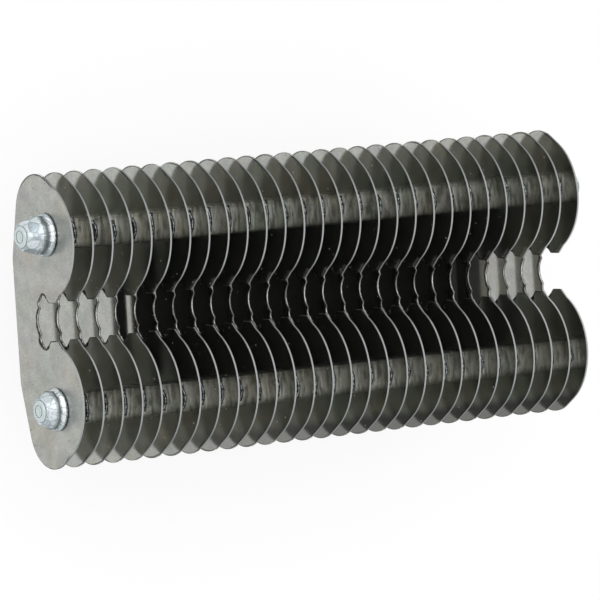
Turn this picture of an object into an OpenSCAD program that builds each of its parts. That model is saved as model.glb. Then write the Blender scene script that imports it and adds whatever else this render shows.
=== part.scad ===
// Inner cutter block of a twin-foil electric shaver: a stack of thin stamped
// blades threaded on two pins, kept apart by flat-sided spacers, held by a crimped
// collar on each pin's end and seated in the comb of a moulded drive carrier.
// X runs along the pins, Y across the two cutting lobes, Z up to the foils.

/* [Blade stack] */
// Number of blades
blade_count = 28; // [8:1:28]
// Distance from one blade to the next
blade_pitch = 1.25; // [1:0.05:1.6]
// Thickness of the strip that the blades are stamped from
blade_t = 0.1; // [0.06:0.01:0.2]

/* [Blade outline] */
// Radius of each round cutting lobe
lobe_r = 3.38; // [3.2:0.02:3.6]
// Distance between the centres of the two lobes
lobe_spacing = 8.8; // [8.5:0.05:9.1]
// Radius of the shoulder at each outer back corner
shoulder_r = 2.2; // [1.9:0.05:2.4]
// Distance between the centres of the two shoulder arcs
shoulder_spacing = 11.7; // [11.3:0.05:12.1]
// Depth of the shoulder arcs' centres below the lobes' centres
shoulder_drop = 0.1; // [0:0.05:0.3]
// Depth of the straight back edge below the lobes' centres
back_depth = 2.95; // [2.8:0.05:3.3]
// Length of the straight back edge between its rounded heels
back_w = 6.9; // [6:0.1:7.5]
// Radius of the heel at each end of the straight back edge
heel_r = 0.6; // [0.3:0.1:1]

/* [Blade notch] */
// Width of the mouth between the two lobe tips
mouth_w = 2.06; // [1.8:0.02:2.4]
// Height above the lobes' centres where each tip's front chamfer meets the lobe
tip_nose = 1.7; // [1.6:0.05:1.9]
// Height of the flat tips' front end above the lobes' centres
tip_front = 1.2; // [1:0.05:1.4]
// Height of the flat tips' back end above the lobes' centres
tip_back = 0.5; // [0.4:0.05:0.6]
// Width of the notch across its two hooked corners
hook_span = 2.96; // [2.8:0.02:3.2]
// Radius of the hooked corners
hook_r = 0.3; // [0.2:0.02:0.36]
// Depth of the hooked corners' centres below the lobes' centres
hook_drop = 0.07; // [0:0.01:0.2]
// Depth of the middle scallop's lowest point below the lobes' centres
scallop_drop = 0.8; // [0.7:0.05:1]
// Radius of the middle scallop
scallop_r = 1; // [0.8:0.05:1.3]
// Radius of the two side scallops
side_scallop_r = 0.32; // [0.26:0.02:0.4]
// Distance between the centres of the two side scallops
side_scallop_spacing = 1.9; // [1.7:0.05:2.1]
// Depth of the side scallops' centres below the lobes' centres
side_scallop_drop = 0.26; // [0.2:0.02:0.36]

/* [Pins and spacers] */
// Diameter of the two pins
pin_d = 1.2; // [1:0.05:1.3]
// Distance between the axes of the two pins
pin_spacing = 9.5; // [9.3:0.02:9.7]
// Height of the pins' axes above the lobes' centres
pin_rise = 0.64; // [0.5:0.02:0.8]
// Gap all round between a pin and what is threaded on it
pin_clearance = 0.02; // [0.01:0.01:0.05]
// Width across the flats of the square spacers
spacer_w = 1.7; // [1.5:0.05:1.9]
// Radius of the spacers' corners
spacer_corner_r = 0.15; // [0.1:0.05:0.5]
// Width of the chamfer round each pin's ends
pin_chamfer = 0.08; // [0.04:0.01:0.12]
// Diameter of the turned ring groove in each pin's end faces
groove_d = 0.66; // [0.5:0.02:0.8]
// Width and depth of that groove
groove_w = 0.06; // [0.04:0.01:0.1]
// Diameter of the centre dimple in each pin's end faces
dimple_d = 0.3; // [0.2:0.02:0.4]
// Depth of that dimple
dimple_h = 0.08; // [0.04:0.01:0.12]

/* [Crimped collars] */
// Diameter of the collar's rim against the end blade
rim_d = 2.38; // [2.2:0.02:2.6]
// Thickness of the straight edge of that rim
rim_t = 0.14; // [0.1:0.02:0.2]
// Height of the sloped step from the rim to the crimped band
rim_slope_h = 0.16; // [0.1:0.02:0.26]
// Diameter over the corners of the crimped band
band_d = 2.2; // [2.06:0.02:2.3]
// Number of flats that the crimping tool leaves
band_flats = 10; // [6:1:12]
// Height of the crimped band on the left-hand pin's collars
left_band_h = 0.4; // [0.3:0.02:0.6]
// Height of the crimped band on the right-hand pin's collars
right_band_h = 0.2; // [0.1:0.02:0.4]
// Height of the cone from the band to the nose on the left-hand pin's collars
left_cone_h = 0.84; // [0.6:0.02:1]
// Height of that cone on the right-hand pin's collars
right_cone_h = 0.56; // [0.4:0.02:0.7]
// Diameter of the nose round the pin's end
nose_d = 1.5; // [1.4:0.02:1.6]
// Length of pin that stands out of the nose
pin_stand = 0.1; // [0.04:0.02:0.2]

/* [Carrier] */
// Number of blades that stand in the comb plate
comb_blades = 18; // [4:1:26]
// Length of comb plate beyond the first and the last of those blades
comb_overhang = 0.7; // [0.3:0.05:0.9]
// Width of the comb plate
carrier_w = 9.4; // [8:0.1:10]
// Thickness of the comb plate below the blades' back edges
carrier_t = 2.5; // [1.8:0.1:3]
// Radius of the comb plate's corners
carrier_corner_r = 2; // [1:0.1:3]
// Height of the comb's teeth between the blades
comb_h = 0.35; // [0.2:0.05:0.5]
// Gap on each side of a blade in its comb slot
comb_clearance = 0.02; // [0.01:0.01:0.05]

/* [Drive boss] */
// Length of the boss that the shaver's drive takes hold of
boss_l = 11; // [9:0.5:14]
// Width of the boss
boss_w = 7; // [6:0.2:8]
// Height of the boss below the comb plate
boss_h = 3; // [2.4:0.1:4]
// Radius of the boss's corners
boss_corner_r = 1.2; // [0.8:0.1:2]
// Diameter of the drive pin's socket
socket_d = 3; // [2.4:0.1:3.4]
// Depth of the socket
socket_h = 3.4; // [2.6:0.1:3.8]
// Width of the lead-in chamfer at the socket's mouth
socket_chamfer = 0.3; // [0.1:0.05:0.5]
// Thickness of the ribs that brace the boss against the plate
rib_t = 0.8; // [0.6:0.1:1.2]
// Length of each rib beyond the boss
rib_l = 3.6; // [2:0.2:5]

/* [Hidden] */
$fn = 96;
eps = 0.01;
plate_z = boss_h;
back_z = plate_z + carrier_t;
lobe_z = back_z + back_depth;
pin_z = lobe_z + pin_rise;
stack_l = (blade_count - 1) * blade_pitch + blade_t;
spacer_l = blade_pitch - blade_t;
bore_d = pin_d + 2 * pin_clearance;
slot_w = blade_t + 2 * comb_clearance;
carrier_l = (comb_blades - 1) * blade_pitch + 2 * comb_overhang;

// Centres of one lobe's arcs in the blade's own plane: across, then up
lobe_c = [lobe_spacing / 2, 0];
shoulder_c = [shoulder_spacing / 2, -shoulder_drop];
heel_c = [back_w / 2 - heel_r * tan(heel_turn() / 2), heel_r - back_depth];
hook_c = [hook_span / 2 - hook_r, -hook_drop];
side_scallop_c = [side_scallop_spacing / 2, -side_scallop_drop];

function blade_name(i) = str("blade_", i < 10 ? "0" : "", i);

// Slope of the straight flank between the heel and the shoulder
function heel_turn() =
    let (run = shoulder_spacing / 2 - back_w / 2, rise = back_depth - shoulder_drop)
    atan2(rise, run) - asin(shoulder_r / norm([run, rise]));

// Where a line that touches two circles on their right-hand side meets each one
function outer_tangent(c1, r1, c2, r2) =
    let (
        way = c2 - c1,
        turn = atan2(way[1], way[0]) - acos((r1 - r2) / norm(way)),
        out = [cos(turn), sin(turn)]
    )
    [c1 + r1 * out, c2 + r2 * out];

module disc(c, r) {
    translate(c) circle(r = r);
}

module both_sides() {
    children();
    mirror([1, 0]) children();
}

// One half of the blade's outer outline, from the middle of the back to the lobe
module half_outline() {
    flank = outer_tangent(heel_c, heel_r, shoulder_c, shoulder_r);
    side = outer_tangent(shoulder_c, shoulder_r, lobe_c, lobe_r);
    nose = lobe_c + [-sqrt(lobe_r * lobe_r - tip_nose * tip_nose), tip_nose];
    intersection() {
        disc(lobe_c, lobe_r);
        square(2 * (lobe_spacing + lobe_r));
    }
    disc(shoulder_c, shoulder_r);
    disc(heel_c, heel_r);
    polygon([
        [-eps, -back_depth], [heel_c[0], -back_depth], heel_c, flank[0], flank[1],
        shoulder_c, side[0], side[1], lobe_c, nose, [mouth_w / 2, tip_front],
        [mouth_w / 2, 0], [-eps, 0]
    ]);
}

// The notch: its mouth, the chamfered hooks behind the lobe tips and the scallops
module notch_outline() {
    tip = [mouth_w / 2, tip_back];
    chamfer = outer_tangent(hook_c, hook_r, tip, 0);
    translate([-mouth_w / 2, hook_c[1] - hook_r / 2]) square([mouth_w, 2 * lobe_r]);
    translate([0, scallop_r - scallop_drop]) circle(r = scallop_r);
    both_sides() {
        disc(hook_c, hook_r);
        disc(side_scallop_c, side_scallop_r);
        polygon([[0, hook_c[1]], hook_c, chamfer[0], tip, [0, tip_back]]);
    }
}

module blade_outline() {
    difference() {
        both_sides() half_outline();
        notch_outline();
        both_sides() translate([pin_spacing / 2, pin_rise]) circle(d = bore_d);
    }
}

// Stands what is drawn flat (across, up) on the pins' axis from x = 0
module upright() {
    rotate([90, 0, 90]) children();
}

// Heights that differ between the left-hand pin (side 1) and the right-hand pin (-1)
function band_h(side) = side == 1 ? left_band_h : right_band_h;
function cone_h(side) = side == 1 ? left_cone_h : right_cone_h;
function collar_l(side) = rim_t + rim_slope_h + band_h(side) + cone_h(side);

function blade_x(i) = (i - (blade_count + 1) / 2) * blade_pitch;

module blade(i) {
    color("lightsteelblue")
        translate([blade_x(i) - blade_t / 2, 0, lobe_z])
            upright() linear_extrude(blade_t) blade_outline();
}

// Moves what is drawn along Z from its own base to a pin's axis
module on_pin(side, x) {
    translate([x, side * pin_spacing / 2, pin_z]) rotate([0, 90, 0]) children();
}

// A plain rod with chamfered ends, each with a turned ring and a centre dimple
module pin(side) {
    half_l = stack_l / 2 + collar_l(side) + pin_stand;
    color("silver") on_pin(side, 0) difference() {
        rotate_extrude() polygon([
            [0, -half_l], [pin_d / 2 - pin_chamfer, -half_l],
            [pin_d / 2, -half_l + pin_chamfer], [pin_d / 2, half_l - pin_chamfer],
            [pin_d / 2 - pin_chamfer, half_l], [0, half_l]
        ]);
        for (end = [0, 1]) mirror([0, 0, end]) translate([0, 0, half_l]) end_marks();
    }
}

module end_marks() {
    translate([0, 0, -dimple_h]) cylinder(d1 = 0, d2 = dimple_d, h = dimple_h + eps / 10);
    translate([0, 0, -groove_w]) difference() {
        cylinder(d = groove_d + groove_w, h = 2 * groove_w);
        translate([0, 0, -eps]) cylinder(d = groove_d - groove_w, h = 2 * groove_w + 2 * eps);
    }
}

module spacers(side) {
    color("gray") for (i = [1:blade_count - 1])
        on_pin(side, blade_x(i) + blade_t / 2) difference() {
            linear_extrude(spacer_l) rounded_rect(spacer_w, spacer_w, spacer_corner_r);
            translate([0, 0, -eps]) cylinder(d = bore_d, h = spacer_l + 2 * eps);
        }
}

// A collar on one pin, at the stack's near end (-1) or its far end (1)
module collar(side, end) {
    band_z = rim_t + rim_slope_h;
    cone_z = band_z + band_h(side);
    color("gainsboro") translate([end * stack_l / 2, side * pin_spacing / 2, pin_z])
        rotate([0, end * 90, 0]) difference() {
            union() {
                cylinder(d = rim_d, h = rim_t);
                translate([0, 0, rim_t]) cylinder(d1 = rim_d, d2 = band_d, h = rim_slope_h);
                translate([0, 0, band_z])
                    cylinder(d = band_d, h = band_h(side), $fn = band_flats);
                translate([0, 0, cone_z]) cylinder(
                    d1 = band_d * cos(180 / band_flats), d2 = nose_d, h = cone_h(side)
                );
            }
            translate([0, 0, -eps]) cylinder(d = bore_d, h = collar_l(side) + 2 * eps);
        }
}

// A flat rectangle with round corners, centred
module rounded_rect(l, w, r) {
    square([l - 2 * r, w], center = true);
    square([l, w - 2 * r], center = true);
    for (x = [-1, 1], y = [-1, 1]) translate([x * (l / 2 - r), y * (w / 2 - r)]) circle(r = r);
}

module drive_carrier() {
    color("#1c1c1e") difference() {
        union() {
            translate([0, 0, plate_z])
                linear_extrude(carrier_t + comb_h) rounded_rect(carrier_l, carrier_w, carrier_corner_r);
            linear_extrude(plate_z + eps) rounded_rect(boss_l, boss_w, boss_corner_r);
            for (s = [0, 180]) rotate([0, 0, s]) boss_ribs();
        }
        for (i = [1:blade_count]) comb_slot(i);
        translate([0, 0, -eps]) cylinder(d = socket_d, h = socket_h + eps);
        translate([0, 0, -eps])
            cylinder(d1 = socket_d + 2 * (socket_chamfer + eps), d2 = socket_d,
                     h = socket_chamfer + eps);
    }
}

// Two tapered ribs from one end of the boss to the underside of the plate
module boss_ribs() {
    for (y = [-1, 1])
        translate([boss_l / 2, y * (boss_w / 2 - boss_corner_r) + rib_t / 2, 0])
            rotate([90, 0, 0]) linear_extrude(rib_t)
                polygon([[-rib_t, boss_h / 2], [0, boss_h / 2], [rib_l, boss_h + eps], [-rib_t, boss_h + eps]]);
}

// A slot that follows the blade's own back edge with the comb's clearance
module comb_slot(i) {
    translate([blade_x(i) - slot_w / 2, -carrier_w / 2 - eps, back_z])
        cube([slot_w, carrier_w + 2 * eps, comb_h + eps]);
}

for (i = [1:blade_count]) blade(i);
pin(1);  // pin_left
pin(-1);  // pin_right
spacers(1);  // spacers_left
spacers(-1);  // spacers_right
collar(1, -1);  // front_collar_left
collar(-1, -1);  // front_collar_right
collar(1, 1);  // rear_collar_left
collar(-1, 1);  // rear_collar_right
drive_carrier();
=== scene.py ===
# %% [markdown]
# Foil shaver cutter block.
# The real object is a row of thin stamped blades, threaded on two pins with a spacer between each
# pair and a crimped collar on each pin's end. A black moulded carrier holds the row from behind.
# The solids come finished from the construction model, so this lesson gives them their surfaces,
# their light and a camera where the photographer's stood. It adds only what is too small and too
# ragged for solids: the burrs in the notches and the lips of the spacers. Lengths are in metres.

# %% Load the finished solids
import bmesh
import bpy
import math
import random
from mathutils import Matrix, Vector


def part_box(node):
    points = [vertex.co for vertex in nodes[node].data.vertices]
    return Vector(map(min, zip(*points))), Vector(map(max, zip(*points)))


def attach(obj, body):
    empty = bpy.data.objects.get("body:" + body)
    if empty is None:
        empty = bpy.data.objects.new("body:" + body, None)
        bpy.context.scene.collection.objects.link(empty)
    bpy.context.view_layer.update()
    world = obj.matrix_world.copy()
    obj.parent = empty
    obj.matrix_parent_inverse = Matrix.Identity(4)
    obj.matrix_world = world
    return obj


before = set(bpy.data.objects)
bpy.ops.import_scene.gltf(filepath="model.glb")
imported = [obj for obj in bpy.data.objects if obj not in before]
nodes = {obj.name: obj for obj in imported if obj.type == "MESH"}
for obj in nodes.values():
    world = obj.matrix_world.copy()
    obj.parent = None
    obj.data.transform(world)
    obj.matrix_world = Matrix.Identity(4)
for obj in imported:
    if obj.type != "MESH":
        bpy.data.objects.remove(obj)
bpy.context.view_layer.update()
MM = 0.001

blades = sorted(name for name in nodes if name.startswith("blade_"))
pins = ["pin_left", "pin_right"]
spacers = ["spacers_left", "spacers_right"]
collars = [name for name in nodes if "_collar_" in name]
print(len(blades), "blades,", len(pins), "pins,", len(collars), "collars")

# %% [markdown]
# Some finishes follow the blades: they need the strip's thickness, the step from blade to blade and
# the place where the row ends. These sizes are read from the solids, so that the finishes still fit
# when the model changes.

# %% Sizes read from the blades
first_blade, second_blade, last_blade = (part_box(blades[i]) for i in (0, 1, -1))
strip_thickness = first_blade[1].x - first_blade[0].x
blade_step = second_blade[0].x - first_blade[0].x
row_end = last_blade[1].x
outer_faces = row_end - strip_thickness / 4
print("strip of", round(strip_thickness / MM, 3), "mm, a blade every", round(blade_step / MM, 3))

# %% [markdown]
# The camera comes first, because every finish is judged through it.
# The block lies on its carrier, but the photograph was taken with the block stood on its side, so
# this camera looks down on the cutting edges and is rolled by a quarter turn. Its place was worked
# out from the rims of all the blades: they shrink towards the far end by an amount that gives the
# distance, and their ovals give the angle. A long lens from far away keeps the lines nearly
# parallel. The angles are in degrees.

# %% Camera at the photographer's place
CAMERA_AZIMUTH = -95.97
CAMERA_ELEVATION = 56.16
CAMERA_ROLL = 91.32
CAMERA_DISTANCE = 347.7 * MM
CAMERA_AIM = Vector((-0.18, -0.23, 8.35)) * MM
LENS_MM = 374.4
SENSOR_MM = 36.0


def look_direction(azimuth, elevation):
    """The way a camera looks: azimuth 0 is along +Y, and elevation is how far it looks down."""
    a, e = math.radians(azimuth), math.radians(elevation)
    return Vector((-math.sin(a) * math.cos(e), math.cos(a) * math.cos(e), -math.sin(e)))


lens = bpy.data.cameras.new("photographer_lens")
lens.lens, lens.sensor_width = LENS_MM, SENSOR_MM
camera = bpy.data.objects.new("photographer", lens)
bpy.context.scene.collection.objects.link(camera)
look = look_direction(CAMERA_AZIMUTH, CAMERA_ELEVATION)
turn = look.to_track_quat("-Z", "Y").to_matrix().to_4x4()
roll = Matrix.Rotation(math.radians(CAMERA_ROLL), 4, "Z")
camera.matrix_world = Matrix.Translation(CAMERA_AIM - look * CAMERA_DISTANCE) @ turn @ roll
bpy.context.scene.camera = camera
print("camera at", [round(c / MM, 1) for c in camera.matrix_world.translation], "mm")

# %% [markdown]
# Two helpers serve every finish. The first turns the hex colours that one reads off a screen into
# the linear values that the shader needs. The second adds one shader node, sets its plain values
# and joins its inputs, so that each material below reads as a list of layers.

# %% Helpers for colours and shader nodes
def linear(hex_colour):
    """An sRGB hex colour as linear red, green, blue and alpha."""
    parts = [int(hex_colour[i:i + 2], 16) / 255 for i in (1, 3, 5)]
    return [c / 12.92 if c <= 0.04045 else ((c + 0.055) / 1.055) ** 2.4 for c in parts] + [1.0]


def add(tree, kind, inputs=None, stops=(), **settings):
    """One shader node. An input is a value, or another node's output to link.

    Stops are for a colour ramp: a position and a hex colour each, the lowest position first.
    """
    made = tree.nodes.new("ShaderNode" + kind)
    for name, value in settings.items():
        setattr(made, name, value)
    for name, value in (inputs or {}).items():
        if isinstance(value, bpy.types.NodeSocket):
            tree.links.new(value, made.inputs[name])
        else:
            made.inputs[name].default_value = value
    if stops:
        bands = made.color_ramp.elements
        bands.remove(bands[1])
        bands[0].position, bands[0].color = stops[0][0], linear(stops[0][1])
        for position, colour in stops[1:]:
            bands.new(position).color = linear(colour)
    return made


print("screen grey #808080 sends back", round(linear("#808080")[0], 3), "of the light")

# %% [markdown]
# A material is started empty and given to its solids by name. Three metals below need no more than
# one fine grain that sets both their tint and their relief, so one function makes that kind whole.

# %% Helpers for materials
def blank_material(name):
    """A new material with only its output node, and the tree that its layers go in."""
    material = bpy.data.materials.new(name)
    material.use_nodes = True
    tree = material.node_tree
    tree.nodes.clear()
    return material, tree, add(tree, "OutputMaterial")


def dress(names, material):
    """Gives these solids one finish."""
    for name in names:
        mesh = nodes[name].data
        mesh.materials.clear()
        mesh.materials.append(material)
    print(material.name, "on", len(names), "solids")


def grained_metal(name, grain_mm, detail, stops, strength, relief_mm, roughness):
    """A metal whose tint and relief both follow one fine grain."""
    material, tree, output = blank_material(name)
    place = add(tree, "TexCoord")
    grain = add(tree, "TexNoise", {
        "Vector": place.outputs["Object"], "Scale": 1 / (grain_mm * MM), "Detail": detail,
    })
    tint = add(tree, "ValToRGB", {"Fac": grain.outputs["Fac"]}, stops)
    relief = add(tree, "Bump", {
        "Height": grain.outputs["Fac"], "Strength": strength, "Distance": relief_mm * MM,
    })
    metal = add(tree, "BsdfPrincipled", {
        "Base Color": tint.outputs["Color"], "Metallic": 1.0, "Roughness": roughness,
        "Normal": relief.outputs["Normal"],
    })
    tree.links.new(metal.outputs["BSDF"], output.inputs["Surface"])
    print(name, "has a grain of", grain_mm, "mm")
    return material


# %% [markdown]
# The blades are stamped from cold-rolled stainless spring strip, then tumbled with small stones.
# Rolling leaves the faces flat, and tumbling dulls them to a satin mirror with fine marks. That
# mirror makes the picture: between two blades the light is thrown to and fro, so a face that sees
# the white room in one bounce is light grey, and after two or three it is a dark olive. A thin film
# of oil leaves faint brownish and greenish clouds, and here and there the steel is pitted. Each
# layer is a noise of its real size, and the layers darken one another as filters do.

# %% Colour of the strip's rolled and tumbled faces
TUMBLE_PATCH_MM = 0.9
TUMBLE_MARK_MM = 0.1  # twice as coarse as real marks, which would be too fine to show
OIL_CLOUD_MM = 2.4
PIT_SPACING_MM = 0.7
PIT_MM = 0.045
PIT_BORDER = (0.6, 1.2)  # where a pit ends softly, in shares of its size
TUMBLED_STEEL = ((0.32, "#A5A6A3"), (0.68, "#BABBB7"))
TUMBLE_MARKS = ((0.36, "#EAEAE8"), (0.6, "#FFFFFF"))
OIL_CLOUDS = ((0.34, "#FFFCF5"), (0.5, "#FFFFFF"), (0.66, "#FBFFFA"))
PIT_COLOUR = "#4A4945"

strip_steel, tree, output = blank_material("rolled_stainless_strip")
place = add(tree, "TexCoord")
patches = add(tree, "TexNoise", {
    "Vector": place.outputs["Object"], "Scale": 1 / (TUMBLE_PATCH_MM * MM), "Detail": 5.0,
})
marks = add(tree, "TexNoise", {
    "Vector": place.outputs["Object"], "Scale": 1 / (TUMBLE_MARK_MM * MM), "Detail": 2.0,
})
clouds = add(tree, "TexNoise", {
    "Vector": place.outputs["Object"], "Scale": 1 / (OIL_CLOUD_MM * MM), "Detail": 2.0,
})
shade = add(tree, "ValToRGB", {"Fac": patches.outputs["Fac"]}, TUMBLED_STEEL)
for grain, stops in ((marks, TUMBLE_MARKS), (clouds, OIL_CLOUDS)):
    layer = add(tree, "ValToRGB", {"Fac": grain.outputs["Fac"]}, stops)
    shade = add(tree, "MixRGB", {
        "Fac": 1.0, "Color1": shade.outputs["Color"], "Color2": layer.outputs["Color"],
    }, blend_type="MULTIPLY")
pit_cells = add(tree, "TexVoronoi", {
    "Vector": place.outputs["Object"], "Scale": 1 / (PIT_SPACING_MM * MM),
})
pitted = add(tree, "MapRange", {
    "Value": pit_cells.outputs["Distance"],
    "From Min": PIT_BORDER[0] * PIT_MM / PIT_SPACING_MM,
    "From Max": PIT_BORDER[1] * PIT_MM / PIT_SPACING_MM, "To Min": 1.0, "To Max": 0.0,
})
pitted_colour = add(tree, "MixRGB", {
    "Fac": pitted.outputs["Result"], "Color1": shade.outputs["Color"],
    "Color2": linear(PIT_COLOUR),
})
print("one pit in about", PIT_SPACING_MM, "mm of strip")

# %% [markdown]
# The faces that look towards the far end get painted shade, which stands in for the darker,
# shadowed surroundings that they reflect. The faces towards the near end keep two fifths of the
# light, and the shaded ones a little over half of that. The surface's direction tells them apart.
# The outer face of the last blade is as light as that of the first, so the shade leaves it out.

# %% Painted shade on the faces towards the far end
FAR_FACE_SHADE = "#C2C2BC"

facing = add(tree, "SeparateXYZ", {"Vector": place.outputs["Normal"]})
spot = add(tree, "SeparateXYZ", {"Vector": place.outputs["Object"]})
to_far_end = add(tree, "Math", {0: facing.outputs["X"], 1: 0.5}, operation="GREATER_THAN")
inside = add(tree, "Math", {0: spot.outputs["X"], 1: outer_faces}, operation="LESS_THAN")
# painted shade: faces towards the far end are darkened, except the last blade's outer face
shaded = add(tree, "Math", {
    0: to_far_end.outputs["Value"], 1: inside.outputs["Value"],
}, operation="MULTIPLY")
face_colour = add(tree, "MixRGB", {
    "Fac": shaded.outputs["Value"], "Color1": pitted_colour.outputs["Color"],
    "Color2": linear(FAR_FACE_SHADE),
}, blend_type="MULTIPLY")
print("the dull side faces the far end")

# %% [markdown]
# The shoulders on the block's -Y side, low in the camera's picture, get painted shade, more of it
# towards the far end, where it takes more than half of the light. It stands in for the shadowed
# surroundings that these shoulders reflect. It is mixed in by place: across the block it sets in
# near the shoulder's rim, and along the block it grows slowly.

# %% Painted shade on the lower shoulders
SHADE_FROM_MM = (6.9, 7.3)
SHADE_SPREAD_MM = (-16.0, 2.0)
LOWER_SHADE_STEEL = "#6E6F6B"

# painted shade on the lower shoulders, growing towards the far end
lower_side = add(tree, "MapRange", {
    "Value": spot.outputs["Y"], "From Min": -SHADE_FROM_MM[0] * MM,
    "From Max": -SHADE_FROM_MM[1] * MM,
})
shade_spread = add(tree, "MapRange", {
    "Value": spot.outputs["X"], "From Min": SHADE_SPREAD_MM[0] * MM,
    "From Max": SHADE_SPREAD_MM[1] * MM,
})
shading = add(tree, "Math", {
    0: lower_side.outputs["Result"], 1: shade_spread.outputs["Result"],
}, operation="MULTIPLY")
lower_shaded_colour = add(tree, "MixRGB", {
    "Fac": shading.outputs["Value"], "Color1": face_colour.outputs["Color"],
    "Color2": linear(LOWER_SHADE_STEEL),
})
print("oil grows from", SHADE_SPREAD_MM[0], "to", SHADE_SPREAD_MM[1], "mm along the stack")

# %% [markdown]
# The stones leave a thin dark line of burr along the rims of the shoulders, wider in some places
# than in others. Each shoulder is an arc of known centre and radius, so the distance from that
# centre tells how near a point is to the rim, and a slow noise sets the width of the line.

# %% Burr line along the shoulders
SHOULDER_CENTRE_MM = (5.85, 8.35)
SHOULDER_RADIUS_MM = 2.2
BURR_LINE_MM = (0.02, 0.12)
BURR_SPACING_MM = 1.6
BURR_NOISE = (0.4, 0.7)  # the noise's values between the narrow and the wide line
BURR_FROM_MM = (7.1, 7.5)
BURR_COLOUR = "#595956"

off_middle = add(tree, "Math", {0: spot.outputs["Y"]}, operation="ABSOLUTE")
shoulder_y = add(tree, "Math", {
    0: off_middle.outputs["Value"], 1: SHOULDER_CENTRE_MM[0] * MM,
}, operation="SUBTRACT")
shoulder_z = add(tree, "Math", {
    0: spot.outputs["Z"], 1: SHOULDER_CENTRE_MM[1] * MM,
}, operation="SUBTRACT")
from_centre = add(tree, "CombineXYZ", {
    "X": shoulder_y.outputs["Value"], "Y": shoulder_z.outputs["Value"],
})
radius = add(tree, "VectorMath", {0: from_centre.outputs["Vector"]}, operation="LENGTH")
burr_noise = add(tree, "TexNoise", {
    "Vector": place.outputs["Object"], "Scale": 1 / (BURR_SPACING_MM * MM), "Detail": 3.0,
})
burr_width = add(tree, "MapRange", {
    "Value": burr_noise.outputs["Fac"], "From Min": BURR_NOISE[0], "From Max": BURR_NOISE[1],
    "To Min": BURR_LINE_MM[0] * MM, "To Max": BURR_LINE_MM[1] * MM,
})
burr_start = add(tree, "Math", {
    0: SHOULDER_RADIUS_MM * MM, 1: burr_width.outputs["Result"],
}, operation="SUBTRACT")
at_rim = add(tree, "Math", {
    0: radius.outputs["Value"], 1: burr_start.outputs["Value"],
}, operation="GREATER_THAN")
at_side = add(tree, "MapRange", {
    "Value": off_middle.outputs["Value"], "From Min": BURR_FROM_MM[0] * MM,
    "From Max": BURR_FROM_MM[1] * MM,
})
burr = add(tree, "Math", {
    0: at_rim.outputs["Value"], 1: at_side.outputs["Result"],
}, operation="MULTIPLY")
burred_colour = add(tree, "MixRGB", {
    "Fac": burr.outputs["Value"], "Color1": lower_shaded_colour.outputs["Color"],
    "Color2": linear(BURR_COLOUR),
})
print("burr line up to", BURR_LINE_MM[1], "mm wide on the shoulders")

# %% [markdown]
# The press shears the strip through. A little over half of each cut edge comes out burnished, in
# brighter and darker patches, and the rest tears off dark and rough. The edges need no geometry of
# their own, because the surface's direction tells them from the faces. Across the thickness, the
# place along the stack repeats with every blade.

# %% Stamped edges
TEAR_MM = 0.12
TEARS_FROM = (1.0, 1.2)  # place through the strip plus a noise of about a half
BURNISHED_STEEL = ((0.4, "#A9A9A5"), (0.56, "#FCFCF8"))
TORN_STEEL = "#2E2D2A"

half_blade = strip_thickness / blade_step / 2
sideways = add(tree, "Math", {0: facing.outputs["X"]}, operation="ABSOLUTE")
is_edge = add(tree, "Math", {0: sideways.outputs["Value"], 1: 0.5}, operation="LESS_THAN")
steps = add(tree, "Math", {
    0: spot.outputs["X"], 1: 1 / blade_step, 2: len(blades) / 2,
}, operation="MULTIPLY_ADD")
along = add(tree, "Math", {0: steps.outputs["Value"]}, operation="FRACT")
through = add(tree, "MapRange", {
    "Value": along.outputs["Value"], "From Min": 0.5 - half_blade, "From Max": 0.5 + half_blade,
})
ragged = add(tree, "TexNoise", {
    "Vector": place.outputs["Object"], "Scale": 1 / (TEAR_MM * MM), "Detail": 3.0,
})
tear_line = add(tree, "Math", {
    0: through.outputs["Result"], 1: ragged.outputs["Fac"],
}, operation="ADD")
torn = add(tree, "MapRange", {
    "Value": tear_line.outputs["Value"], "From Min": TEARS_FROM[0], "From Max": TEARS_FROM[1],
})
burnished = add(tree, "ValToRGB", {"Fac": patches.outputs["Fac"]}, BURNISHED_STEEL)
sheared = add(tree, "MixRGB", {
    "Fac": torn.outputs["Result"], "Color1": burnished.outputs["Color"],
    "Color2": linear(TORN_STEEL),
})
print("a blade takes", round(2 * half_blade, 3), "of each step along the stack")

# %% [markdown]
# The front of the two cutting lobes is ground bright after stamping. The wheel meets the inner
# flanks squarely and only skims the outer ones, so these are dimmer. Height above the base and the
# edge's direction tell which part is ground.

# %% Ground cutting rims
GROUND_FROM_MM = 9.2
GROUND_FACING = (0.1, 0.25)
GROUND_STEEL = ((0.05, "#C6CACA"), (0.25, "#AEB2B1"), (0.65, "#A7ABAA"), (0.92, "#7C8284"))

forward = add(tree, "MapRange", {
    "Value": facing.outputs["Z"], "From Min": GROUND_FACING[0], "From Max": GROUND_FACING[1],
})
high = add(tree, "Math", {
    0: spot.outputs["Z"], 1: GROUND_FROM_MM * MM,
}, operation="GREATER_THAN")
is_ground = add(tree, "Math", {
    0: forward.outputs["Result"], 1: high.outputs["Value"],
}, operation="MULTIPLY")
side = add(tree, "Math", {0: spot.outputs["Y"]}, operation="SIGN")
outward = add(tree, "Math", {
    0: facing.outputs["Y"], 1: side.outputs["Value"],
}, operation="MULTIPLY")
flank = add(tree, "MapRange", {"Value": outward.outputs["Value"], "From Min": -1.0})
ground = add(tree, "ValToRGB", {"Fac": flank.outputs["Result"]}, GROUND_STEEL)
edge_colour = add(tree, "MixRGB", {
    "Fac": is_ground.outputs["Value"], "Color1": sheared.outputs["Color"],
    "Color2": ground.outputs["Color"],
})
steel_colour = add(tree, "MixRGB", {
    "Fac": is_edge.outputs["Value"], "Color1": burred_colour.outputs["Color"],
    "Color2": edge_colour.outputs["Color"],
})
print("rims are ground from", GROUND_FROM_MM, "mm up")

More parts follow.
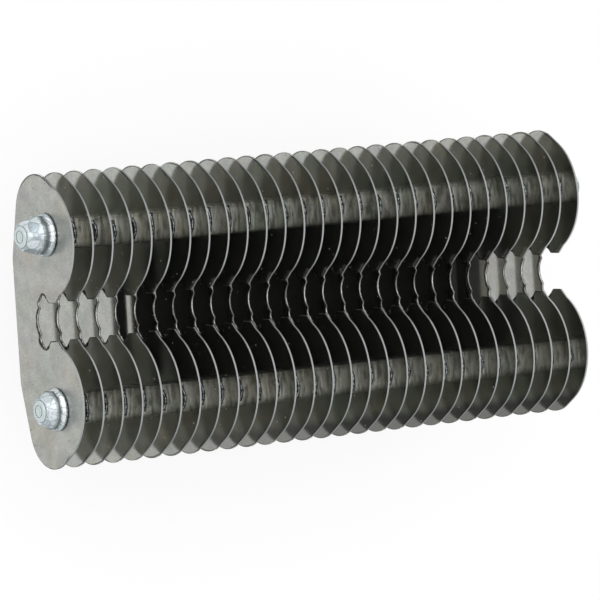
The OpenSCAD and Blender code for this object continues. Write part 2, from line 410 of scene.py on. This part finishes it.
# %% [markdown]
# Tumbling leaves the gloss a little uneven. The two outer faces of the block have been handled, so
# they are duller, and the cut edges are duller still. Rolling leaves fine lines along the strip,
# too shallow to see but enough to soften the reflections across them. Specks of dust lie on the
# film of oil: they are pale and matt, and the film keeps the steel itself from being all metal.

# %% Gloss, rolling lines and dust of the strip
FACE_ROUGHNESS = (0.09, 0.17)
HANDLED_ROUGHNESS = 0.34
EDGE_ROUGHNESS = 0.52
ROLLING_GRAIN_MM = (0.5, 3.0, 0.07)  # through the strip, along its lines and across them
ROLLING_RELIEF_MM = 0.0012
DUST_SPACING_MM = 0.8
DUST_MM = 0.05
DUST_METAL, STEEL_METAL = 0.1, 0.97
DUST_COLOUR = "#D8D5CC"

dust_cells = add(tree, "TexVoronoi", {
    "Vector": place.outputs["Object"], "Scale": 1 / (DUST_SPACING_MM * MM),
})
metal_share = add(tree, "MapRange", {
    "Value": dust_cells.outputs["Distance"], "From Min": 0.5 * DUST_MM / DUST_SPACING_MM,
    "From Max": DUST_MM / DUST_SPACING_MM, "To Min": DUST_METAL, "To Max": STEEL_METAL,
})
dusted_colour = add(tree, "MixRGB", {
    "Fac": metal_share.outputs["Result"], "Color1": linear(DUST_COLOUR),
    "Color2": steel_colour.outputs["Color"],
})
tumbled = add(tree, "MapRange", {
    "Value": patches.outputs["Fac"], "To Min": FACE_ROUGHNESS[0], "To Max": FACE_ROUGHNESS[1],
})
off_centre = add(tree, "Math", {0: spot.outputs["X"]}, operation="ABSOLUTE")
handled = add(tree, "Math", {
    0: off_centre.outputs["Value"], 1: outer_faces,
}, operation="GREATER_THAN")
face_dullness = add(tree, "MapRange", {
    "Value": handled.outputs["Value"], "To Min": tumbled.outputs["Result"],
    "To Max": HANDLED_ROUGHNESS,
})
edge_dullness = add(tree, "MapRange", {
    "Value": is_edge.outputs["Value"], "To Min": face_dullness.outputs["Result"],
    "To Max": EDGE_ROUGHNESS,
})
rolled = add(tree, "Mapping", {
    "Vector": place.outputs["Object"], "Scale": [1 / (size * MM) for size in ROLLING_GRAIN_MM],
})
lines = add(tree, "TexNoise", {"Vector": rolled.outputs["Vector"], "Scale": 1.0, "Detail": 3.0})
line_relief = add(tree, "Bump", {
    "Height": lines.outputs["Fac"], "Strength": 0.35, "Distance": ROLLING_RELIEF_MM * MM,
})
steel = add(tree, "BsdfPrincipled", {
    "Base Color": dusted_colour.outputs["Color"], "Metallic": metal_share.outputs["Result"],
    "Roughness": edge_dullness.outputs["Result"], "Normal": line_relief.outputs["Normal"],
})
tree.links.new(steel.outputs["BSDF"], output.inputs["Surface"])
dress(blades, strip_steel)

# %% [markdown]
# Tumbling and grinding don't reach into the notches, so the press's burr is still there: a dark,
# ragged ridge round each notch, on the side that faces the near end. To lay a ridge along the rim,
# the rim is first read from a blade's own mesh and stepped off in even lengths. Between the hooked
# corners the burr is heavy, and on the mouth's straight sides only a hairline of it is left.

# %% Rim of the notch, read from a blade
NOTCH_HALF_MM = 1.55
NOTCH_FLOOR_MM = 6.0
SAME_POINT_MM = 0.001
BURR_STEP_MM = 0.07
HEAVY_BELOW_MM = 8.7
HAIRLINE_SHARE = 0.35


def notch_rim(name):
    """The rim of a blade's notch as points in Y and Z, from one lobe's tip to the other's."""
    shell = bmesh.new()
    shell.from_mesh(nodes[name].data)
    bmesh.ops.remove_doubles(shell, verts=shell.verts, dist=SAME_POINT_MM * MM)
    rim = [e for e in shell.edges if sum(f.normal.x < -0.9 for f in e.link_faces) == 1]
    inside = [e for e in rim if all(
        abs(v.co.y) < NOTCH_HALF_MM * MM and v.co.z > NOTCH_FLOOR_MM * MM for v in e.verts)]
    touching = {}
    for edge in inside:
        a, b = edge.verts
        touching.setdefault(a, []).append(b)
        touching.setdefault(b, []).append(a)
    here = max((v for v in touching if len(touching[v]) == 1), key=lambda v: v.co.y)
    path, seen = [here], {here}
    while True:
        onward = [v for v in touching[here] if v not in seen]
        if not onward:
            break
        here = onward[0]
        seen.add(here)
        path.append(here)
    points = [Vector((v.co.y, v.co.z)) for v in path]
    shell.free()
    return points


def even_steps(points, step):
    """The same path with its points one step apart."""
    made, left = [points[0]], step
    for a, b in zip(points, points[1:]):
        length, done = (b - a).length, 0.0
        while length - done >= left:
            done += left
            made.append(a.lerp(b, done / length))
            left = step
        left -= length - done
    return made


notch = even_steps(notch_rim(blades[1]), BURR_STEP_MM * MM)
shares = [1.0 if at.y < HEAVY_BELOW_MM * MM else HAIRLINE_SHARE for at in notch]
print("the notch's rim has", len(notch), "steps of", BURR_STEP_MM, "mm")

# %% [markdown]
# Both small forms of this lesson, the burrs and the spacers' lips, are lofted: closed sections are
# laid one after another, their corners are joined by faces, and both ends are capped. Blender then
# turns all the faces outwards, so that each is a clean closed solid.

# %% Helpers for lofted pieces
def skin(faces, first, count, size):
    """Joins sections of so many corners, laid from the first point's number on, and caps them."""
    for i in range(count - 1):
        here, there = first + size * i, first + size * (i + 1)
        for k in range(size):
            nxt = (k + 1) % size
            faces.append((here + k, here + nxt, there + nxt, there + k))
    faces.append(tuple(range(first + size - 1, first - 1, -1)))
    faces.append(tuple(range(first + (count - 1) * size, first + count * size)))


def new_piece(name, points, faces, material):
    """An object of closed solids with one material."""
    mesh = bpy.data.meshes.new(name)
    mesh.from_pydata(points, [], faces)
    mesh.materials.append(material)
    piece = bpy.data.objects.new(name, mesh)
    bpy.context.scene.collection.objects.link(piece)
    turned = bmesh.new()
    turned.from_mesh(mesh)
    bmesh.ops.recalc_face_normals(turned, faces=turned.faces)
    turned.to_mesh(mesh)
    turned.free()
    print(name, "has", len(faces), "faces")
    return piece


# %% [markdown]
# A burr stands up straight where the metal was sheared and slopes back to the face. Its width and
# height wander along the rim, because the tool is worn unevenly, and each blade gets values of its
# own. The steel is torn, and it is coloured dark and made rough.

# %% Burrs in the notches
BURR_WIDTH_MM = (0.09, 0.26)
BURR_HEIGHT_MM = (0.02, 0.07)
BURR_SINK_MM = 0.01
BURR_WANDER = 0.28  # the most that a value changes from step to step, in shares of its range
TORN_BURR = ((0.42, "#1D1B19"), (0.66, "#6B6A66"))
TORN_RELIEF_MM = 0.01

chance = random.Random(7)


def ragged_values(count, limits):
    """Values that wander between two limits, each near the one before it."""
    low, high = limits
    value, made = (low + high) / 2, []
    for _ in range(count):
        change = chance.uniform(-BURR_WANDER, BURR_WANDER) * (high - low)
        value = min(high, max(low, value + change))
        made.append(value * MM)
    return made


def burr_section(at, inward, face_x, width, height):
    """One closed section of a burr: a steep side at the rim and a slope back to the face."""
    sink = BURR_SINK_MM * MM
    profile = ((0.0, -sink), (0.0, height), (0.6 * width, 0.7 * height), (width, -sink))
    return [(face_x - stand, *(at + inward * depth)) for depth, stand in profile]


points, faces = [], []
for blade in blades:
    face_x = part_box(blade)[0].x
    widths = ragged_values(len(notch), BURR_WIDTH_MM)
    heights = ragged_values(len(notch), BURR_HEIGHT_MM)
    first = len(points)
    for i, (at, share) in enumerate(zip(notch, shares)):
        run = (notch[min(i + 1, len(notch) - 1)] - notch[max(i - 1, 0)]).normalized()
        inward = Vector((-run.y, run.x))
        points += burr_section(at, inward, face_x, widths[i] * share, heights[i] * share)
    skin(faces, first, len(notch), 4)

burr_steel = grained_metal("sheared_steel_burr", TEAR_MM, 4.0, TORN_BURR,
                           strength=0.5, relief_mm=TORN_RELIEF_MM, roughness=0.45)
burrs = new_piece("notch_burrs", points, faces, burr_steel)
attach(burrs, "root")

# %% [markdown]
# The spacers are short blocks cropped from flat-sided drawn steel bar with a bright zinc plating,
# the brightest metal between the blades. Scuffs run straight across each flat and show as upright
# streaks where the blades reflect them. A noise that is squeezed across the scuffs and left long
# along them draws them. It is about twice as coarse as real scuffs, which would be too fine to
# show. Each flat is coloured darker towards its two borders, so that its bright band between the
# blades fades at the edges. The borders' places are read from the spacers.

# %% Zinc-plated flat-sided bar
SCUFF_GRAIN_MM = (0.17, 0.8, 0.8)  # across the scuffs, and along them
SCUFF_RELIEF_MM = 0.045
FLAT_FACING = (0.3, 0.7)
ZINC_PLATING = ((0.38, "#B0AFAA"), (0.5, "#FFFFFD"))
FLAT_BORDER_DARKENING = ((0.0, "#8A8A88"), (0.2, "#E2E2E0"), (0.4, "#F4F4F2"), (0.6, "#FFFFFF"),
             (0.78, "#FAFAF8"), (1.0, "#868684"))

inner_border, outer_border = (corner.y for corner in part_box("spacers_left"))
plated_bar, tree, output = blank_material("zinc_plated_bar")
place = add(tree, "TexCoord")
scuffed = add(tree, "Mapping", {
    "Vector": place.outputs["Object"], "Scale": [1 / (size * MM) for size in SCUFF_GRAIN_MM],
})
scuffs = add(tree, "TexNoise", {
    "Vector": scuffed.outputs["Vector"], "Scale": 1.0, "Detail": 3.0,
})
tint = add(tree, "ValToRGB", {"Fac": scuffs.outputs["Fac"]}, ZINC_PLATING)
spot = add(tree, "SeparateXYZ", {"Vector": place.outputs["Object"]})
off_middle = add(tree, "Math", {0: spot.outputs["Y"]}, operation="ABSOLUTE")
across = add(tree, "MapRange", {
    "Value": off_middle.outputs["Value"], "From Min": inner_border, "From Max": outer_border,
})
border_darkening = add(tree, "ValToRGB", {"Fac": across.outputs["Result"]}, FLAT_BORDER_DARKENING)
facing = add(tree, "SeparateXYZ", {"Vector": place.outputs["Normal"]})
upright = add(tree, "Math", {0: facing.outputs["Z"]}, operation="ABSOLUTE")
on_flat = add(tree, "MapRange", {
    "Value": upright.outputs["Value"], "From Min": FLAT_FACING[0], "From Max": FLAT_FACING[1],
})
plating = add(tree, "MixRGB", {
    "Fac": on_flat.outputs["Result"], "Color1": tint.outputs["Color"],
    "Color2": border_darkening.outputs["Color"],
}, blend_type="MULTIPLY")
scuff_relief = add(tree, "Bump", {
    "Height": scuffs.outputs["Fac"], "Strength": 1.0, "Distance": SCUFF_RELIEF_MM * MM,
})
zinc = add(tree, "BsdfPrincipled", {
    "Base Color": plating.outputs["Color"], "Metallic": 1.0, "Roughness": 0.32,
    "Normal": scuff_relief.outputs["Normal"],
})
tree.links.new(zinc.outputs["BSDF"], output.inputs["Surface"])
dress(spacers, plated_bar)

# %% [markdown]
# Cropping the bar leaves a thin lip on one end of each spacer, which bulges over its flat against
# the next blade. Seen past the blades' rims, the lips are small dark crescents beside each rim, at
# the height of the pins. Each is lofted from sections along its length: its height follows a bulge
# with some ragged teeth, and no two have the same width and height. The lips of one pin are one
# piece, because they are alike and never move apart.

# %% Shape of a cropped lip
LIP_WIDTH_MM = (1.15, 1.55)
LIP_HEIGHT_MM = (0.3, 0.5)
LIP_THICKNESS_MM = 0.15
LIP_GAP_MM = 0.015
LIP_SINK_MM = 0.03
LIP_OFF_CENTRE_MM = 0.1
LIP_TEETH = 0.1  # in shares of the lip's height
LIP_BULGE = 0.8  # 0.5 would be half an ellipse and 1 a parabola
LIP_STATIONS = 15

dice = random.Random(28)


def lip_section(y, flat_z, height, front):
    """One closed section of a lip: it climbs from the spacer's flat to a crest near the blade."""
    t, sink = LIP_THICKNESS_MM * MM, LIP_SINK_MM * MM
    profile = [(-1.4 * t, -sink), (-0.9 * t, 0.45 * height), (-0.5 * t, 0.88 * height),
               (-0.2 * t, height), (-LIP_GAP_MM * MM, 0.85 * height), (-LIP_GAP_MM * MM, -sink)]
    return [(front + x, y, flat_z + z) for x, z in profile]


def add_lip(points, faces, pin_y, flat_z, front):
    """Adds one spacer's lip to the lists of points and faces."""
    width = dice.uniform(*LIP_WIDTH_MM) * MM
    height = dice.uniform(*LIP_HEIGHT_MM) * MM
    middle = pin_y + dice.uniform(-LIP_OFF_CENTRE_MM, LIP_OFF_CENTRE_MM) * MM
    first = len(points)
    for station in range(LIP_STATIONS):
        u = 2 * station / (LIP_STATIONS - 1) - 1
        ragged_share = 1 + dice.uniform(-LIP_TEETH, LIP_TEETH)
        rise = height * max(0.0, 1 - u * u) ** LIP_BULGE * ragged_share
        points += lip_section(middle + u * width / 2, flat_z, rise, front)
    skin(faces, first, LIP_STATIONS, (len(points) - first) // LIP_STATIONS)


print("a lip is at most", LIP_HEIGHT_MM[1], "mm high")

# %% [markdown]
# The lips are the bar's bare torn steel, cleaner than the burrs in the notches, and bright where
# the shear rubbed them.

# %% Lips of the spacers
TORN_LIP = ((0.4, "#4C4E4F"), (0.62, "#C4C9CC"))

lip_steel = grained_metal("cropped_bar_lip", TEAR_MM, 4.0, TORN_LIP,
                          strength=0.5, relief_mm=TORN_RELIEF_MM, roughness=0.3)
for name in spacers:
    low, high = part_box(name)
    points, faces = [], []
    for blade in blades[1:]:
        add_lip(points, faces, (low.y + high.y) / 2, high.z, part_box(blade)[0].x)
    lips = new_piece(name + "_lips", points, faces, lip_steel)
    lips.data.shade_smooth()
    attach(lips, "root")

# %% [markdown]
# The pins are drawn from bright steel wire and cut to length. The ring and the dimple turned into
# their ends are in the solids already. The cut leaves a fine grain there, which softens the shine,
# and a single noise is enough for that.

# %% Bright drawn wire
CUT_GRAIN_MM = 0.07
DRAWN_WIRE = ((0.3, "#C2CDCD"), (0.7, "#D6E0E0"))

wire_steel = grained_metal("bright_drawn_wire", CUT_GRAIN_MM, 3.0, DRAWN_WIRE,
                           strength=0.3, relief_mm=0.004, roughness=0.4)
dress(pins, wire_steel)

# %% [markdown]
# The collars are soft bright aluminium, crimped on by a tool with jaws. The jaws press small flat
# facets with creases between them, and each facet throws back a little more or less light. They are
# far smaller than the solid's own flats, so a pattern of cells draws both facets and creases, and
# the creases get painted shade. The crimped band is rubbed grey, the cone and the rim stay bright,
# and a dark line of painted shadow sits where the rim meets the blade. How far a point stands out
# from the end blade tells which zone it is in, and a fine noise makes the zones' borders uneven.

# %% Crimped aluminium
DENT_MM = 0.55
CREASE_MM = 0.05
SCUFF_MM = 0.1
DENT_RELIEF_MM = 0.08
ZONE_SPAN_MM = 1.0
ZONE_WANDER = 0.16
# the darkest stop, next to the end blade, is painted shadow where the rim meets the blade
COLLAR_ZONES_AND_RIM_SHADOW = ((0.12, "#343433"), (0.17, "#EEF4F6"), (0.45, "#EEF4F6"), (0.49, "#969EA2"),
                (0.66, "#AFB7BB"), (0.72, "#DDE5E8"), (1.0, "#DDE6E9"))
RUBBED = ((0.38, "#E4E6E8"), (0.6, "#FFFFFF"))
FACETS = ((0.1, "#D3D9DB"), (0.6, "#FFFFFF"))
CREASE_SHADE_COLOUR = "#6C7377"

crimped_aluminium, tree, output = blank_material("crimped_aluminium")
place = add(tree, "TexCoord")
spot = add(tree, "SeparateXYZ", {"Vector": place.outputs["Object"]})
dents = add(tree, "TexVoronoi", {
    "Vector": place.outputs["Object"], "Scale": 1 / (DENT_MM * MM),
})
facet_edges = add(tree, "TexVoronoi", {
    "Vector": place.outputs["Object"], "Scale": 1 / (DENT_MM * MM),
}, feature="DISTANCE_TO_EDGE")
scuffs = add(tree, "TexNoise", {
    "Vector": place.outputs["Object"], "Scale": 1 / (SCUFF_MM * MM), "Detail": 3.0,
})
off_centre = add(tree, "Math", {0: spot.outputs["X"]}, operation="ABSOLUTE")
stand_out = add(tree, "MapRange", {
    "Value": off_centre.outputs["Value"], "From Min": row_end,
    "From Max": row_end + ZONE_SPAN_MM * MM,
})
wander = add(tree, "Math", {
    0: scuffs.outputs["Fac"], 1: ZONE_WANDER, 2: stand_out.outputs["Result"],
}, operation="MULTIPLY_ADD")
pressed = add(tree, "SeparateXYZ", {"Vector": dents.outputs["Color"]})
shade = add(tree, "ValToRGB", {"Fac": wander.outputs["Value"]}, COLLAR_ZONES_AND_RIM_SHADOW)
for value, stops in ((scuffs.outputs["Fac"], RUBBED), (pressed.outputs["X"], FACETS)):
    layer = add(tree, "ValToRGB", {"Fac": value}, stops)
    shade = add(tree, "MixRGB", {
        "Fac": 1.0, "Color1": shade.outputs["Color"], "Color2": layer.outputs["Color"],
    }, blend_type="MULTIPLY")
# painted shade: the creases between the facets are darkened
crease_shade = add(tree, "MapRange", {
    "Value": facet_edges.outputs["Distance"], "From Max": CREASE_MM / DENT_MM,
    "To Min": 0.5, "To Max": 0.0,
})
crease_shaded_colour = add(tree, "MixRGB", {
    "Fac": crease_shade.outputs["Result"], "Color1": shade.outputs["Color"],
    "Color2": linear(CREASE_SHADE_COLOUR),
})
dent_relief = add(tree, "Bump", {
    "Height": dents.outputs["Distance"], "Strength": 0.7, "Distance": DENT_RELIEF_MM * MM,
})
aluminium = add(tree, "BsdfPrincipled", {
    "Base Color": crease_shaded_colour.outputs["Color"], "Metallic": 1.0, "Roughness": 0.34,
    "Normal": dent_relief.outputs["Normal"],
})
tree.links.new(aluminium.outputs["BSDF"], output.inputs["Surface"])
dress(collars, crimped_aluminium)

# %% [markdown]
# The carrier is black acetal, moulded in a spark-eroded tool. The tool leaves a fine even grain,
# which gives the black a soft sheen instead of a shine. One noise sets both how deep the grain is
# and how dull. Acetal's index of refraction is 1.48.

# %% Black moulded acetal
MOULD_GRAIN_MM = 0.06
MOULD_RELIEF_MM = 0.006
MOULD_ROUGHNESS = (0.42, 0.58)
ACETAL_IOR = 1.48

black_acetal, tree, output = blank_material("black_moulded_acetal")
place = add(tree, "TexCoord")
grain = add(tree, "TexNoise", {
    "Vector": place.outputs["Object"], "Scale": 1 / (MOULD_GRAIN_MM * MM), "Detail": 2.0,
})
dullness = add(tree, "MapRange", {
    "Value": grain.outputs["Fac"], "To Min": MOULD_ROUGHNESS[0], "To Max": MOULD_ROUGHNESS[1],
})
mould_relief = add(tree, "Bump", {
    "Height": grain.outputs["Fac"], "Strength": 0.4, "Distance": MOULD_RELIEF_MM * MM,
})
plastic = add(tree, "BsdfPrincipled", {
    "Base Color": linear("#101012"), "IOR": ACETAL_IOR, "Roughness": dullness.outputs["Result"],
    "Normal": mould_relief.outputs["Normal"],
})
tree.links.new(plastic.outputs["BSDF"], output.inputs["Surface"])
dress(["drive_carrier"], black_acetal)

# %% [markdown]
# The photograph was taken against white, so the floor and the room are white to the camera and to
# every mirror. Only the diffuse part of the floor takes the block's shadow, and the rest of its
# brightness is its own, which leaves the shadow soft and pale.

# %% White floor
FLOOR_HALF = 3.0
FLOOR_GLOW = 0.85

floor_mesh = bpy.data.meshes.new("floor")
corners = [(-FLOOR_HALF, -FLOOR_HALF, 0), (FLOOR_HALF, -FLOOR_HALF, 0),
           (FLOOR_HALF, FLOOR_HALF, 0), (-FLOOR_HALF, FLOOR_HALF, 0)]
floor_mesh.from_pydata(corners, [], [(0, 1, 2, 3)])
floor = bpy.data.objects.new("floor", floor_mesh)
bpy.context.scene.collection.objects.link(floor)

white_paper, tree, output = blank_material("white_paper")
ray = add(tree, "LightPath")
mirrored = add(tree, "Math", {
    0: ray.outputs["Is Glossy Ray"], 1: ray.outputs["Is Transmission Ray"],
}, operation="MAXIMUM")
looked_at = add(tree, "Math", {
    0: ray.outputs["Is Camera Ray"], 1: mirrored.outputs["Value"],
}, operation="MAXIMUM")
glow = add(tree, "Math", {0: looked_at.outputs["Value"], 1: FLOOR_GLOW}, operation="MULTIPLY")
paper_share = 1.0 - FLOOR_GLOW
paper = add(tree, "BsdfDiffuse", {"Color": (paper_share, paper_share, paper_share, 1.0)})
lit = add(tree, "Emission", {"Color": (1.0, 1.0, 1.0, 1.0), "Strength": glow.outputs["Value"]})
seen = add(tree, "AddShader", {0: paper.outputs["BSDF"], 1: lit.outputs["Emission"]})
tree.links.new(seen.outputs["Shader"], output.inputs["Surface"])
floor_mesh.materials.append(white_paper)
print("the floor is", 2 * FLOOR_HALF, "m wide and takes its shadow on", round(paper_share, 2))

# %% [markdown]
# The room lights the block evenly from all sides, as a tent of white cloth does, so a plain white
# background is enough, with no picture of a room. At a strength of 1 a white surface comes out
# white and a colour comes out about as it is written.

# %% White room
room = bpy.data.worlds.new("white_room")
bpy.context.scene.world = room
room.use_nodes = True
tree = room.node_tree
tree.nodes.clear()
air = add(tree, "Background", {"Color": (1.0, 1.0, 1.0, 1.0), "Strength": 1.0})
add(tree, "OutputWorld", {"Surface": air.outputs["Background"]})
print(room.name, "has", len(tree.nodes), "nodes")

# %% [markdown]
# One soft lamp stands above and beside the block, as a softbox would. It gives the round collars
# and the stamped edges their small bright lights.

# %% Soft lamp
LAMP_SIZE = 0.6
LAMP_POWER = 0.8
LAMP_PLACE = Vector((-0.25, 0.3, 0.45))

lamp_data = bpy.data.lights.new("softbox", "AREA")
lamp_data.size, lamp_data.energy = LAMP_SIZE, LAMP_POWER
lamp = bpy.data.objects.new("softbox", lamp_data)
bpy.context.scene.collection.objects.link(lamp)
lamp.location = LAMP_PLACE
lamp.rotation_euler = (-LAMP_PLACE).to_track_quat("-Z", "Y").to_euler()
print("softbox of", LAMP_POWER, "W,", round(LAMP_PLACE.length, 2), "m away")

# %% [markdown]
# The picture is shown with the Standard view, which leaves the colours as they are.

# %% How the picture is taken
bpy.context.scene.view_settings.view_transform = "Standard"
